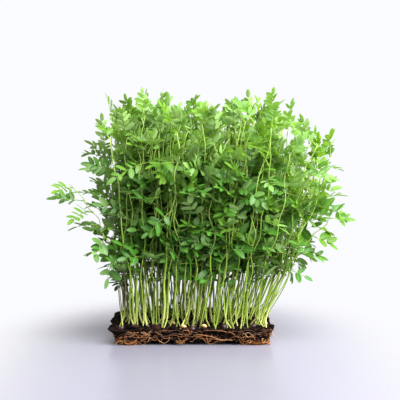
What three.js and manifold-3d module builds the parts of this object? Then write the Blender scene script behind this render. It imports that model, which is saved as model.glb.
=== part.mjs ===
// Red lentil microgreens on the slab of soil they grew in, lifted out of its growing tray.
// The slab is felted with roots underneath and carries lentil seedlings that fan out above it.
// Millimetres, +Z up; the origin is the middle of the face that the slab rests on.

import * as THREE from "three";
import { mergeVertices } from "three/addons/utils/BufferGeometryUtils.js";
import Module from "manifold-3d";

const wasm = await Module();
wasm.setup();

// Slab of soil
const SLAB_LENGTH = 127; // along X, at the rim
const SLAB_DEPTH = 90; // along Y, at the rim
const SLAB_HEIGHT = 13;
const SLAB_DRAFT = 3; // how far each side is drawn in at the base by the tray's sloping wall
const SLAB_CORNER = 11; // corner radius seen from above
const CORNER_STEPS = 5;

// Felt of roots that wraps the slab's underside and the foot of its sides
const FELT_HEIGHT = 6.5;
const FELT_THICKNESS = 2.2;

// Clearance between pieces that touch in the real thing
const GAP = 0.3;

// Seedlings, in staggered rows from the front of the slab to its back
const ROW_COUNTS = [7, 6, 7, 6];
const ROW_HALF_LENGTH = 57; // a long row's last seedling from the middle
const ROW_HALF_DEPTH = 38; // the first and last rows from the middle
const ROOTED_DEPTH = 6; // how deep a stem stands in the soil
const STEM_FOOT = SLAB_HEIGHT - ROOTED_DEPTH;
const STEM_SIDES = 6;
const STEM_RADIUS = 0.9;
const STEM_STEPS = 4;
const SHOOT_RADIUS = 0.7;
const SHOOT_STEPS = 4;
const LOWEST_LEAF = 58; // above the table
const LOWEST_LEAF_SPREAD = 12;

// The fan: how far a seedling has leaned by the height of the canopy's top
const CANOPY_HEIGHT = 214;
const LEAN_TO_RIGHT = 13; // the whole stand leans to the light
const FAN_SPREAD = 0.4; // extra offset for each millimetre from the slab's middle
const FLARE = 34; // extra offset of the stems at the right end
const FLARE_POWER = 5; // keeps the flare to the outermost stems
const LEAN_CURVE = 0.9; // 1 is a straight lean, less turns upright with height
const TALLEST = 209;
const END_DROP = 32; // how much shorter the seedlings at the right end are
const END_DROP_POWER = 6;
const RIGHT_DROP = 6; // how much lower the canopy is on the right than on the left
const HEIGHT_SPREAD = 16;

// The two seedlings at the front corners that sprawl: by index, they lean far out, more so with height
const SPRAWLING = new Map([
  [0, { leanX: -117, curve: 2.1, tip: 150 }],
  [6, { leanX: 205, curve: 1.67, tip: 125 }],
]);

// Compound leaves, one to each side of the shoot in turn, all lying about one slanting plane
const LEAF_LENGTH = 24;
const END_LEAF_LENGTH = 34; // on the outside of the seedlings at the two ends, where there is room
const TIP_LEAF_LENGTH = 15;
const LEAF_SPACING = 26; // up the shoot
const FIRST_LEAF_PLACE = 0.4; // the lowest leaf above the bare stem, as a share of the spacing
const LEAF_TILT = 0.62; // radians above level
const TIP_LEAF_TILT = 1.3;
const LEAF_PLANE = 0.85; // radians from X, seen from above
const LEAF_TURN_SPREAD = 0.35; // radians of scatter about that plane
const LEAF_THICKNESS = 0.6;
const LEAF_HALF_WIDTH = 5;
const LEAFLET_PAIRS = 2;
const LEAFLET_SLANT = 0.8; // how far a leaflet points forward, as a share of the step between pairs
const LEAFLET_FOOT = 0.65; // the first pair's place on the stalk, and the end leaflet's past the last pair
const END_LEAFLET = 0.85; // the end leaflet's length, as a share of the step between pairs
const LEAF_STALK_HALF_WIDTH = 0.45;

// Seeds lying on the soil along the front edge
const SEED_COUNT = 6;
const SEED_DIAMETER = 5;
const SEED_THICKNESS = 2.6;
const SEED_EDGE_DISTANCE = 4; // from the slab's front rim, for the nearest seed
const SEED_SCATTER_X = 7;
const SEED_SCATTER_Y = 5;
const SEED_STEPS = 6;
const SEED_SIDES = 10;

const SOIL = new THREE.MeshStandardMaterial({ color: 0x3a2a20, roughness: 0.95, metalness: 0 });
const ROOT = new THREE.MeshStandardMaterial({ color: 0xa0693a, roughness: 0.85, metalness: 0 });
const SEED = new THREE.MeshStandardMaterial({ color: 0x4a2b1c, roughness: 0.6, metalness: 0 });
const STEM = new THREE.MeshStandardMaterial({ color: 0xa9b86a, roughness: 0.5, metalness: 0 });
const LEAF = new THREE.MeshStandardMaterial({ color: 0x4f8f35, roughness: 0.5, metalness: 0 });

const WELD_DISTANCE = 1e-4; // vertices closer than this are one

// A closed geometry as a solid that can be joined and cut.
function solidOf(geometry) {
  const plain = geometry.clone();
  plain.deleteAttribute("normal");
  plain.deleteAttribute("uv");
  const shared = mergeVertices(plain, WELD_DISTANCE);
  const vertProperties = new Float32Array(shared.attributes.position.array);
  const triVerts = new Uint32Array(shared.index.array);
  return new wasm.Manifold(new wasm.Mesh({ numProp: 3, vertProperties, triVerts }));
}

// A solid's faces as a geometry.
function geometryOf(solid) {
  const faces = solid.getMesh();
  const geometry = new THREE.BufferGeometry();
  geometry.setAttribute("position", new THREE.BufferAttribute(faces.vertProperties, 3));
  geometry.setIndex(new THREE.BufferAttribute(faces.triVerts, 1));
  geometry.computeVertexNormals();
  return geometry;
}

function named(name, geometry, material) {
  const mesh = new THREE.Mesh(geometry, material);
  mesh.name = name;
  return mesh;
}

// An even scatter between 0 and 1, the same at every run: steps of the golden ratio, wrapped.
function scatter(index, stream) {
  const golden = 0.618034;
  const offset = 0.37;
  const value = (index + 1) * golden * (stream + 1) + stream * offset;
  return value - Math.floor(value);
}

// The slab's drafted body, drawn in by an inset on each side, between two heights.
function slabBody(inset, low, high) {
  const halfLength = SLAB_LENGTH / 2;
  const halfDepth = SLAB_DEPTH / 2;
  const straightX = halfLength - SLAB_CORNER;
  const straightY = halfDepth - SLAB_CORNER;
  const outline = new THREE.Shape();
  outline.absarc(straightX, straightY, SLAB_CORNER, 0, Math.PI / 2);
  outline.absarc(-straightX, straightY, SLAB_CORNER, Math.PI / 2, Math.PI);
  outline.absarc(-straightX, -straightY, SLAB_CORNER, Math.PI, 1.5 * Math.PI);
  outline.absarc(straightX, -straightY, SLAB_CORNER, 1.5 * Math.PI, 2 * Math.PI);
  outline.closePath();
  const settings = { depth: high - low, bevelEnabled: false, curveSegments: CORNER_STEPS };
  const geometry = new THREE.ExtrudeGeometry(outline, settings);
  geometry.translate(0, 0, low);
  const place = geometry.attributes.position;
  for (let i = 0; i < place.count; i += 1) {
    const drawnIn = inset + SLAB_DRAFT * (1 - place.getZ(i) / SLAB_HEIGHT);
    place.setX(i, place.getX(i) * (1 - drawnIn / halfLength));
    place.setY(i, place.getY(i) * (1 - drawnIn / halfDepth));
  }
  return solidOf(geometry);
}

// Where each seedling stands, how far it leans and how tall it is.
function plantSeedlings() {
  const seedlings = [];
  const pitch = (2 * ROW_HALF_LENGTH) / (Math.max(...ROW_COUNTS) - 1);
  const rowStep = (2 * ROW_HALF_DEPTH) / (ROW_COUNTS.length - 1);
  ROW_COUNTS.forEach((count, row) => {
    for (let column = 0; column < count; column += 1) {
      const index = seedlings.length;
      const x = (column - (count - 1) / 2) * pitch;
      const y = -ROW_HALF_DEPTH + row * rowStep;
      const along = x / ROW_HALF_LENGTH;
      const rightward = Math.max(along, 0);
      const fannedLean = LEAN_TO_RIGHT + FAN_SPREAD * x + FLARE * rightward ** FLARE_POWER;
      const leanY = FAN_SPREAD * y;
      const drop = END_DROP * rightward ** END_DROP_POWER + (RIGHT_DROP * (1 + along)) / 2;
      const fullTip = TALLEST - drop - HEIGHT_SPREAD * scatter(index, 0);
      const upright = { leanX: fannedLean, curve: LEAN_CURVE, tip: fullTip };
      const { leanX, curve, tip } = SPRAWLING.get(index) ?? upright;
      const lowestLeaf = LOWEST_LEAF + LOWEST_LEAF_SPREAD * scatter(index, 1);
      const end = column === 0 || column === count - 1 ? Math.sign(x) : 0;
      seedlings.push({ index, x, y, leanX, leanY, curve, tip, lowestLeaf, end });
    }
  });
  return seedlings;
}

// The share of its full lean that a stem has at a height: none in the soil, all at the canopy's top.
function leanShare(z, curve) {
  const rise = Math.max(0, z - SLAB_HEIGHT) / (CANOPY_HEIGHT - SLAB_HEIGHT);
  return rise ** curve;
}

// A stem's centre line between two heights.
class StemLine extends THREE.Curve {
  constructor(seedling, low, high) {
    super();
    this.seedling = seedling;
    this.low = low;
    this.high = high;
  }

  getPoint(t, target = new THREE.Vector3()) {
    const z = this.low + (this.high - this.low) * t;
    const { x, y, leanX, leanY, curve } = this.seedling;
    const share = leanShare(z, curve);
    return target.set(x + leanX * share, y + leanY * share, z);
  }
}

function stemTube(seedling, low, high, radius, steps) {
  const section = new THREE.Shape();
  for (let side = 0; side < STEM_SIDES; side += 1) {
    const angle = (2 * Math.PI * side) / STEM_SIDES;
    const point = [radius * Math.cos(angle), radius * Math.sin(angle)];
    if (side === 0) {
      section.moveTo(...point);
    } else {
      section.lineTo(...point);
    }
  }
  section.closePath();
  const extrudePath = new StemLine(seedling, low, high);
  return new THREE.ExtrudeGeometry(section, { steps, bevelEnabled: false, extrudePath });
}

// A compound leaf along +X from its foot at the origin: pairs of pointed leaflets and one at the end.
function leafBlade(length) {
  const pitch = length / (LEAFLET_PAIRS + LEAFLET_FOOT + END_LEAFLET);
  const upper = [new THREE.Vector2(0, LEAF_STALK_HALF_WIDTH)];
  for (let pair = 0; pair < LEAFLET_PAIRS; pair += 1) {
    const foot = pitch * (pair + LEAFLET_FOOT);
    upper.push(new THREE.Vector2(foot, LEAF_STALK_HALF_WIDTH));
    upper.push(new THREE.Vector2(foot + pitch * LEAFLET_SLANT, LEAF_HALF_WIDTH));
  }
  upper.push(new THREE.Vector2(length - pitch * END_LEAFLET, LEAF_STALK_HALF_WIDTH));
  const tip = new THREE.Vector2(length, 0);
  const lower = upper.map((point) => new THREE.Vector2(point.x, -point.y)).reverse();
  const outline = new THREE.Shape([...upper, tip, ...lower]);
  const blade = new THREE.ExtrudeGeometry(outline, { depth: LEAF_THICKNESS, bevelEnabled: false });
  return blade.translate(0, 0, -LEAF_THICKNESS / 2);
}

// A leaf in its place: tilted up from level, turned about the stem, its foot on the stem's centre line.
function placedLeaf(length, tilt, turn, foot) {
  const blade = leafBlade(length).rotateY(-tilt).rotateZ(turn);
  return solidOf(blade.translate(foot.x, foot.y, foot.z));
}

// The leafy top of a seedling: the upper stem with its leaves, grown as one piece.
function leafyShoot(seedling) {
  const { index, lowestLeaf, tip, end } = seedling;
  const top = tip - TIP_LEAF_LENGTH * Math.sin(TIP_LEAF_TILT);
  const line = new StemLine(seedling, lowestLeaf, top);
  let shoot = solidOf(stemTube(seedling, lowestLeaf + GAP, top, SHOOT_RADIUS, SHOOT_STEPS));
  const count = Math.floor((top - lowestLeaf) / LEAF_SPACING);
  for (let leaf = 0; leaf < count; leaf += 1) {
    const nearSide = (leaf + index) % 2 === 0;
    const outward = end !== 0 && (nearSide || SPRAWLING.has(index));
    const plane = outward ? (Math.PI * (1 - end)) / 2 : LEAF_PLANE + (nearSide ? Math.PI : 0);
    const turn = plane + LEAF_TURN_SPREAD * (scatter(index + leaf, 2) - 0.5);
    const foot = line.getPoint((leaf + FIRST_LEAF_PLACE) / count);
    shoot = shoot.add(placedLeaf(outward ? END_LEAF_LENGTH : LEAF_LENGTH, LEAF_TILT, turn, foot));
  }
  const tipFoot = line.getPoint(1).setZ(top - LEAF_STALK_HALF_WIDTH);
  const tipTurn = 2 * Math.PI * scatter(index, 3);
  return geometryOf(shoot.add(placedLeaf(TIP_LEAF_LENGTH, TIP_LEAF_TILT, tipTurn, tipFoot)));
}

// Felt of roots: a shallow dish that the soil sits in.
function rootFelt() {
  const dish = slabBody(0, 0, FELT_HEIGHT);
  const hollow = slabBody(FELT_THICKNESS, FELT_THICKNESS, SLAB_HEIGHT);
  return geometryOf(dish.subtract(hollow));
}

// Soil: a plug inside the felt and the full slab above it, with a socket round each rooted stem.
function soilBlock(seedlings) {
  const inner = FELT_THICKNESS + GAP;
  let soil = slabBody(inner, inner, SLAB_HEIGHT).add(slabBody(0, FELT_HEIGHT + GAP, SLAB_HEIGHT));
  for (const seedling of seedlings) {
    const low = STEM_FOOT - GAP;
    const socket = stemTube(seedling, low, seedling.lowestLeaf, STEM_RADIUS + GAP, STEM_STEPS);
    soil = soil.subtract(solidOf(socket));
  }
  return geometryOf(soil);
}

// A lentil: a disc with a rounded rim, thickest in the middle.
function lentilSeed() {
  const profile = [];
  for (let step = 0; step <= SEED_STEPS; step += 1) {
    const angle = -Math.PI / 2 + (Math.PI * step) / SEED_STEPS;
    const radius = step === 0 || step === SEED_STEPS ? 0 : (SEED_DIAMETER / 2) * Math.cos(angle);
    profile.push(new THREE.Vector2(radius, (SEED_THICKNESS / 2) * Math.sin(angle)));
  }
  return new THREE.LatheGeometry(profile, SEED_SIDES).rotateX(Math.PI / 2);
}

const microgreens = new THREE.Group();
const seedlings = plantSeedlings();
microgreens.add(named("soil_block", soilBlock(seedlings), SOIL));
microgreens.add(named("root_felt", rootFelt(), ROOT));

const seedPitch = (2 * ROW_HALF_LENGTH) / SEED_COUNT;
for (let seed = 0; seed < SEED_COUNT; seed += 1) {
  const lentil = named(`seed_${seed + 1}`, lentilSeed(), SEED);
  const x = (seed - (SEED_COUNT - 1) / 2) * seedPitch + SEED_SCATTER_X * (scatter(seed, 0) - 0.5);
  const y = -SLAB_DEPTH / 2 + SEED_EDGE_DISTANCE + SEED_SCATTER_Y * scatter(seed, 1);
  const z = SLAB_HEIGHT + GAP + SEED_THICKNESS / 2;
  lentil.position.set(x, y, z);
  microgreens.add(lentil);
}

seedlings.forEach((seedling, index) => {
  const number = String(index + 1).padStart(2, "0");
  const stem = stemTube(seedling, STEM_FOOT, seedling.lowestLeaf, STEM_RADIUS, STEM_STEPS);
  microgreens.add(named(`stem_${number}`, stem, STEM));
  microgreens.add(named(`leafy_shoot_${number}`, leafyShoot(seedling), LEAF));
});

export default microgreens;
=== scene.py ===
"""Lentil microgreens on a slab of soil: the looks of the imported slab, its roots, seeds and seedlings.

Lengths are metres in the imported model's frame: +Z up, +X along the slab, +Y from its front to its back.
"""
from dataclasses import dataclass

import bpy
import numpy as np
from bpy.props import FloatProperty, FloatVectorProperty, IntProperty, PointerProperty
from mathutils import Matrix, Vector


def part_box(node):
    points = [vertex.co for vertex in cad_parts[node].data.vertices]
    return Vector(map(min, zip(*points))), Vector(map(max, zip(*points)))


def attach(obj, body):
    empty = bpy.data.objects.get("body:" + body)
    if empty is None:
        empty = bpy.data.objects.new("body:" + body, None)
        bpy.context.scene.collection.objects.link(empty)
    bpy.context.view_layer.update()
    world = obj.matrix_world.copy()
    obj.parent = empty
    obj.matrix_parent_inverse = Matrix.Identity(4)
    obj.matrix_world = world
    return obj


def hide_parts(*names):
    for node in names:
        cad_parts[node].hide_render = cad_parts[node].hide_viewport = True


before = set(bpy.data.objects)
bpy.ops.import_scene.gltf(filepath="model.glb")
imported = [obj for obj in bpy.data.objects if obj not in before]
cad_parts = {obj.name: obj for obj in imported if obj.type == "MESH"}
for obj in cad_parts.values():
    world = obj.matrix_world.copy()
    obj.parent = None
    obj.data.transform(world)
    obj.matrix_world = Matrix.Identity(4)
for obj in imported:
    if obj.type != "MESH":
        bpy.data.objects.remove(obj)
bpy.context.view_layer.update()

bl_info = {
    "name": "Lentil Microgreens",
    "version": (1, 0, 0),
    "blender": (4, 5, 0),
    "location": "View3D > Sidebar > Microgreens",
    "description": "Grows lentil seedlings, roots and soil round a packed slab",
    "category": "Object",
}

BODY = "root"
TURN = 2 * np.pi
UP = np.array((0.0, 0.0, 1.0))

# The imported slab
SOIL_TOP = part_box("soil_block")[1].z
SLAB_HALF = np.array(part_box("soil_block")[1])[:2]
FELT_HALF = np.array(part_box("root_felt")[1])[:2]
FELT_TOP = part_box("root_felt")[1].z
SLAB_DRAFT = 0.003
SLAB_CORNER = 0.011
RIM_DROP = 0.0016
EARTH_SHINE = 0.05
PALE_SEEDS = ("seed_3", "seed_4")

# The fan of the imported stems: the lean at a height is this share of the lean at the canopy's top
CANOPY_HEIGHT = 0.214
LEAN_CURVE = 0.9
END_RING = 0.0012
FLARE_POWER = 5
DROP_POWER = 6
# How far the leaves reach to the left and right at some heights
CANOPY_LEVELS = (0.045, 0.06, 0.08, 0.10, 0.14, 0.165, 0.172, 0.18, 0.19)
CANOPY_LEFT = (-0.064, -0.086, -0.100, -0.106, -0.106, -0.103, -0.100, -0.096, -0.092)
CANOPY_RIGHT = (0.066, 0.092, 0.118, 0.138, 0.140, 0.114, 0.102, 0.090, 0.082)

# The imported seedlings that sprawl: the lean curve of each, by its place in the order of their names
SPRAWLING = {0: 2.1, 6: 1.67}
SPRAWL_REACH = 0.134, 0.146  # how far their leaves reach to the left and right
SPRAWL_LEAVES = 7

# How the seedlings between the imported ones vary
RANKS = 6
SCATTER_TRIES = 40
SCATTER_ROOM = SLAB_HALF - 0.005
FOOT_ROOM = SLAB_HALF - 0.0045
LEAN_SPREAD = 0.012, 0.005  # along the slab and across it
TIP_LIFT = 0.008
TIP_DROP = 1.6, 0.013  # shape and scale of a gamma law
EDGE_LIFT = 0.012
SHORT_SHARE = 0.15
SHORT_HEIGHT = 0.62, 0.85
SHORT_LOWEST = 0.014
LOWEST_SPREAD = 0.009
LOWEST_LIMITS = 0.044, 0.09
LEAF_LIMITS = 4, 9
RED_SHARE = 0.45, 0.04  # at the left end and elsewhere

# Stems
TOP_LEAF = 0.0235
HOOK_FADE = 0.006
SWAY_RISE = 0.04
BURIED = 0.004
BARE_RINGS, BARE_SIDES = 16, 6
LEAFY_RINGS, LEAFY_SIDES = 18, 5
SEAM = 0.0002

# Leaves
LEAF, STEM = 0, 1  # material slots of a shoot
STALK_RINGS, STALK_SIDES = 5, 3
LEAFLET_STATIONS = 4
MOST_PAIRS = 4
STIPULE = 0.0038
STIPULE_WIDTH = 0.38
STIPULE_STATIONS = 2
TENDRIL_LENGTH = 0.003, 0.008

# The stage
FLOOR_HALF = 0.7
FLOOR_FADE = 0.055, 0.27
KEY_PLACE, KEY_SIZE = (0.35, -0.62, 1.0), 0.9
SIDE_PLACE, SIDE_SIZE = (0.85, -0.15, 0.42), 1.0
AIM_HEIGHT = 0.1

PATTERN_MAP = "Pattern"
ATLAS_MAP = "OFBake"
ATLAS_MARGIN = 0.06


# Settings that a user would change

def length_property(name, description, default):
    """A length in metres."""
    return FloatProperty(
        name=name, description=description, default=default, min=0.0, precision=5, unit="LENGTH"
    )


def number_property(name, description, default, **limits):
    """A plain number."""
    return FloatProperty(name=name, description=description, default=default, **limits)


def count_property(name, description, default, least=0):
    """A whole number."""
    return IntProperty(name=name, description=description, default=default, min=least)


def colour_property(name, description, default):
    """A linear colour."""
    return FloatVectorProperty(
        name=name, description=description, default=default, size=3, min=0.0, max=1.0, subtype="COLOR"
    )


class SlabSettings(bpy.types.PropertyGroup):
    """Soil, roots and seeds."""

    relief: length_property("Relief", "Height of the lumps on the soil", 0.0021)
    lip: length_property("Loose lip", "How far the soil hangs over at the left end", 0.0065)
    arch: length_property("Arch", "Rise of the underside between its two ends", 0.0013)
    crumbs: count_property("Crumbs", "Loose crumbs of soil", 1500)
    crumb_size: length_property("Crumb size", "Radius of a middling crumb", 0.00085)
    roots: count_property("Roots", "Roots that run along the slab's sides", 150)
    loops: count_property("Loops", "Roots that hang in loops", 80)
    tangles: count_property("Tangles", "Curled roots at the two ends", 280)
    loose_ends: count_property("Loose ends", "Roots that stick out", 30)
    root_radius: length_property("Root radius", "Radius of a middling root", 0.00022)
    seeds: count_property("Loose seeds", "Seed coats lying on the soil", 84)
    seed_radius: length_property("Seed radius", "Half the width of a lentil", 0.0023)


class StemSettings(bpy.types.PropertyGroup):
    """Seedlings and their stems."""

    seedlings: count_property("Seedlings", "All the seedlings on the slab", 265, least=26)
    foot_radius: length_property("Foot radius", "Stem radius at the soil", 0.00056)
    tip_radius: length_property("Tip radius", "Stem radius at the tip", 0.0004)
    hook: length_property("Hook", "How far a stem bends aside where it leaves the soil", 0.0075)
    sway: length_property("Sway", "Side to side wander of a stem", 0.0028)
    zigzag: length_property("Zigzag", "Bend of the stem from one leaf to the next", 0.0017)
    first_leaf: length_property("First leaf", "Height of a middling seedling's lowest leaf", 0.066)
    leaf_step: length_property("Leaf step", "Distance from one leaf to the next up a stem", 0.0205)


class LeafSettings(bpy.types.PropertyGroup):
    """Compound leaves and their leaflets."""

    stalk: length_property("Leaf stalk", "Length of a full-grown compound leaf", 0.025)
    stalk_radius: length_property("Stalk radius", "Radius of a leaf stalk at its foot", 0.00042)
    leaflet: length_property("Leaflet", "Length of a full-grown leaflet", 0.0104)
    leaflet_width: number_property("Leaflet width", "Width over length", 0.51, min=0.1)
    thickness: length_property("Thickness", "Thickness of a leaflet at its midrib", 0.0003)
    fold: number_property("Fold", "How far a leaflet's edges rise, over its half width", 0.22)
    depth_limit: length_property("Depth limit", "Leaves turn inward past this from the middle", 0.074)
    tendrils: number_property("Tendrils", "Share of leaves that end in a tendril", 0.3)


class ColourSettings(bpy.types.PropertyGroup):
    """Colours of the finishes."""

    soil_dark: colour_property("Dark soil", "Moist peat", (0.0026, 0.0018, 0.0016))
    soil_warm: colour_property("Warm soil", "Bark and fibre in the soil", (0.028, 0.013, 0.008))
    root_dark: colour_property("Dark root", "Old roots", (0.032, 0.012, 0.006))
    root_orange: colour_property("Orange root", "Matted roots", (0.235, 0.083, 0.018))
    root_pale: colour_property("Pale root", "Young roots", (0.62, 0.42, 0.2))
    seed_dark: colour_property("Dark seed coat", "Wet seed coats", (0.028, 0.012, 0.014))
    seed_pale: colour_property("Pale seed coat", "Dry seed coats", (0.55, 0.33, 0.15))
    stem_foot: colour_property("Stem foot", "Stems at the soil", (0.41, 0.44, 0.12))
    stem_green: colour_property("Stem green", "Stems among the leaves", (0.15, 0.24, 0.016))
    stem_high: colour_property("High stem", "Stems in the canopy", (0.19, 0.30, 0.05))
    stem_olive: colour_property("Stem olive", "The darker stems", (0.13, 0.17, 0.02))
    stem_red: colour_property("Stem red", "The few red-brown stems", (0.07, 0.03, 0.025))
    leaf_old: colour_property("Old leaf", "Leaves low on the stem", (0.045, 0.165, 0.015))
    leaf_young: colour_property("Young leaf", "Leaves at the tips", (0.118, 0.24, 0.009))
    leaf_under: colour_property("Leaf underside", "Lower faces of the leaflets", (0.34, 0.54, 0.17))
    leaf_glow: colour_property("Leaf glow", "Light that comes through a leaflet", (0.50, 0.68, 0.09))


class StageSettings(bpy.types.PropertyGroup):
    """Floor, light and camera."""

    floor: colour_property("Floor", "Pale table top", (0.16, 0.156, 0.192))
    background: colour_property("Background", "Seen behind the plants", (0.965, 0.97, 1.0))
    daylight: number_property("Daylight", "Light from all round", 0.77, min=0.0)
    key: number_property("Key light", "Soft light from the upper right", 48.0, unit="POWER")
    side: number_property("Side light", "Soft light from the right", 44.0, unit="POWER")
    camera_distance: length_property("Camera distance", "From the slab's middle", 0.821)
    camera_height: length_property("Camera height", "Above the table", 0.159)
    camera_side: length_property("Camera side", "To the right of the slab's middle", 0.006)
    camera_pitch: number_property("Camera pitch", "Downwards", 0.0558, subtype="ANGLE")
    focal_length: number_property("Focal length", "Millimetres", 89.0, min=1.0)


class MicrogreensSettings(bpy.types.PropertyGroup):
    """Everything that the panel shows."""

    slab: PointerProperty(type=SlabSettings)
    stem: PointerProperty(type=StemSettings)
    leaf: PointerProperty(type=LeafSettings)
    colour: PointerProperty(type=ColourSettings)
    stage: PointerProperty(type=StageSettings)


# Arrays

def unit(vectors):
    """Each vector divided by its length."""
    return vectors / np.linalg.norm(vectors, axis=-1, keepdims=True)


def smooth(values, low, high):
    """0 below low, 1 above high, and 3t^2 - 2t^3 between them."""
    t = np.clip((values - low) / (high - low), 0, 1)
    return t * t * (3 - 2 * t)


def lump_noise(points, cell, seed):
    """Smooth noise from -1 to 1: random values on a cubic lattice, blended by 3t^2 - 2t^3 each way."""
    size = 32
    lattice = np.random.default_rng(seed).uniform(-1, 1, (size, size, size))
    scaled = points / cell
    corner = np.floor(scaled).astype(int)
    weight = smooth(scaled - corner, 0, 1)
    total = np.zeros(points.shape[:-1])
    for step in np.ndindex(2, 2, 2):
        share = np.prod(np.where(step, weight, 1 - weight), axis=-1)
        x, y, z = np.moveaxis((corner + step) % size, -1, 0)
        total += share * lattice[x, y, z]
    return total


@dataclass
class Patch:
    """One kind of small closed surface: its faces, and each face corner's place in a cell of the pattern.

    The rim marks the points along which its edges are sharp.
    """

    faces: list
    coords: np.ndarray
    cells: np.ndarray
    rim: np.ndarray

    def __post_init__(self):
        self.corners = np.concatenate(self.faces)
        self.sizes = np.array([len(face) for face in self.faces])
        self.cell_count = int(self.cells.max()) + 1


@dataclass
class Family:
    """Copies of a patch: their points, the material they use and a tint and a youth for each copy."""

    points: np.ndarray
    patch: Patch
    material: int
    tint: np.ndarray
    youth: np.ndarray

    def chosen(self, keep):
        """The copies that keep names."""
        return Family(self.points[keep], self.patch, self.material, self.tint[keep], self.youth[keep])


def leaflet_patch(stations):
    """A leaflet's skin: its foot, then four points at each station, then its tip.

    The four are the left edge, the upper midrib, the right edge and the lower midrib.
    """
    left, upper, right, lower = (1 + side + 4 * np.arange(stations) for side in range(4))
    foot, tip = 0, 1 + 4 * stations
    across = {0: 0.0, 1: 0.5, 2: 1.0, 3: 0.5}
    faces, coords, cells = [], [], []

    def place(vertex):
        if vertex == foot:
            return 0.0, 0.5
        if vertex == tip:
            return 1.0, 0.5
        station, side = divmod(vertex - 1, 4)
        return (station + 1) / (stations + 1), across[side]

    strips = ((upper, left, 0), (right, upper, 0), (left, lower, 1), (lower, right, 1))
    for near, far, cell in strips:
        loops = [(near[s], near[s + 1], far[s + 1], far[s]) for s in range(stations - 1)]
        loops += [(foot, near[0], far[0]), (near[-1], tip, far[-1])]
        for loop in loops:
            faces.append(loop)
            coords += [place(int(vertex)) for vertex in loop]
            cells += [cell] * len(loop)
    rim = np.zeros(tip + 1, bool)
    rim[[foot, tip, *left, *right]] = True
    return Patch(faces, np.array(coords), np.array(cells), rim)


def ringed_faces(levels, sides):
    """Rings of points closed by a point at each end: the faces, and each face corner's level and way round.

    The first end's point comes after the rings, and the last end's point after that.
    """
    rings = len(levels)
    first, last, end = rings * sides, rings * sides + 1, (rings - 1) * sides
    faces, coords = [], []
    for side in range(sides):
        after = (side + 1) % sides
        low, middle, high = side / sides, (side + 0.5) / sides, (side + 1) / sides
        for ring in range(rings - 1):
            here, there = ring * sides, (ring + 1) * sides
            near, far = levels[ring], levels[ring + 1]
            faces.append((here + side, here + after, there + after, there + side))
            coords += [(near, low), (near, high), (far, high), (far, low)]
        faces.append((first, after, side))
        coords += [(0.0, middle), (levels[0], high), (levels[0], low)]
        faces.append((last, end + side, end + after))
        coords += [(1.0, middle), (levels[-1], low), (levels[-1], high)]
    return faces, np.array(coords)


def plain_patch(faces, coords):
    """A patch with one cell and no sharp edges."""
    points = max(max(face) for face in faces) + 1
    return Patch(faces, coords, np.zeros(len(coords), int), np.zeros(points, bool))


def tube_patch(rings, sides):
    """A tube with closed ends."""
    return plain_patch(*ringed_faces(np.linspace(0, 1, rings), sides))


def ball_patch(rings, sides):
    """A ball: rings from its lower pole to its upper pole."""
    faces, coords = ringed_faces((np.arange(rings) + 1) / (rings + 1), sides)
    return plain_patch(faces, coords[:, ::-1])


def leaflet_points(foot, along, normal, length, width, fold, curl, thickness, stations):
    """Leaflets: a flat four-cornered section carried along a midrib.

    The midrib is foot + along * length * t, dropped by curl * length * t^2. The half width is an ellipse's,
    sqrt(u (1 - u)) times the width, with u = t^0.85 to set where it is widest. The edges rise by fold times
    the half width.
    """
    t = 0.5 - 0.5 * np.cos(np.pi * np.linspace(0.22, 0.88, stations))
    normal, along = normal[:, None], along[:, None]
    across = np.cross(normal, along)
    length, width = length[:, None, None], width[:, None, None]
    fold, curl = fold[:, None, None], curl[:, None, None]

    def midrib(t):
        return foot[:, None] + along * length * t - normal * curl * length * t * t

    t = t[None, :, None]
    half = width * np.sqrt(t**0.85 * (1 - t**0.85))
    middle = midrib(t)
    lift = normal * fold * half
    ring = np.stack(
        [
            middle + across * half + lift,
            middle + normal * thickness / 2,
            middle - across * half + lift,
            middle - normal * thickness / 2,
        ],
        axis=2,
    )
    copies = len(foot)
    return np.concatenate([midrib(0.0), ring.reshape(copies, -1, 3), midrib(1.0)], axis=1)


def tube_points(middle, radius, sides, reference):
    """Tubes: a ring of points round each middle point, square to the path there.

    A ring's first axis is the reference direction with its share along the path taken out.
    """
    along = unit(np.gradient(middle, axis=1))
    first = unit(reference - (reference * along).sum(-1, keepdims=True) * along)
    second = np.cross(along, first)
    angle = TURN * np.arange(sides) / sides
    spoke = first[:, :, None] * np.cos(angle)[:, None] + second[:, :, None] * np.sin(angle)[:, None]
    rings = middle[:, :, None] + spoke * radius[:, :, None, None]
    copies = len(middle)
    return np.concatenate([rings.reshape(copies, -1, 3), middle[:, :1], middle[:, -1:]], axis=1)


def ball_points(centre, size, axes, rings, sides, bumps):
    """Balls: a direction for each point, times the sizes along the ball's own axes and the point's bump."""
    latitude = np.pi * (np.arange(rings) + 1) / (rings + 1) - np.pi / 2
    longitude = TURN * np.arange(sides) / sides
    ring = np.stack(
        [
            np.outer(np.cos(latitude), np.cos(longitude)),
            np.outer(np.cos(latitude), np.sin(longitude)),
            np.outer(np.sin(latitude), np.ones(sides)),
        ],
        axis=-1,
    ).reshape(-1, 3)
    directions = np.concatenate([ring, [-UP, UP]])
    local = directions[None] * size[:, None] * bumps[..., None]
    return centre[:, None] + np.einsum("npk,nkj->npj", local, axes)


def random_axes(count, tilt, rng):
    """Turned frames: a free turn about the upright, then a lean of about tilt radians in any direction."""
    turn = rng.uniform(0, TURN, count)
    lean = rng.normal(0, tilt, (count, 2))
    upright = unit(np.stack([lean[:, 0], lean[:, 1], np.ones(count)], axis=1))
    side = np.stack([np.cos(turn), np.sin(turn), np.zeros(count)], axis=1)
    first = unit(side - (side * upright).sum(1, keepdims=True) * upright)
    return np.stack([first, np.cross(upright, first), upright], axis=1)


# Meshes

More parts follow.
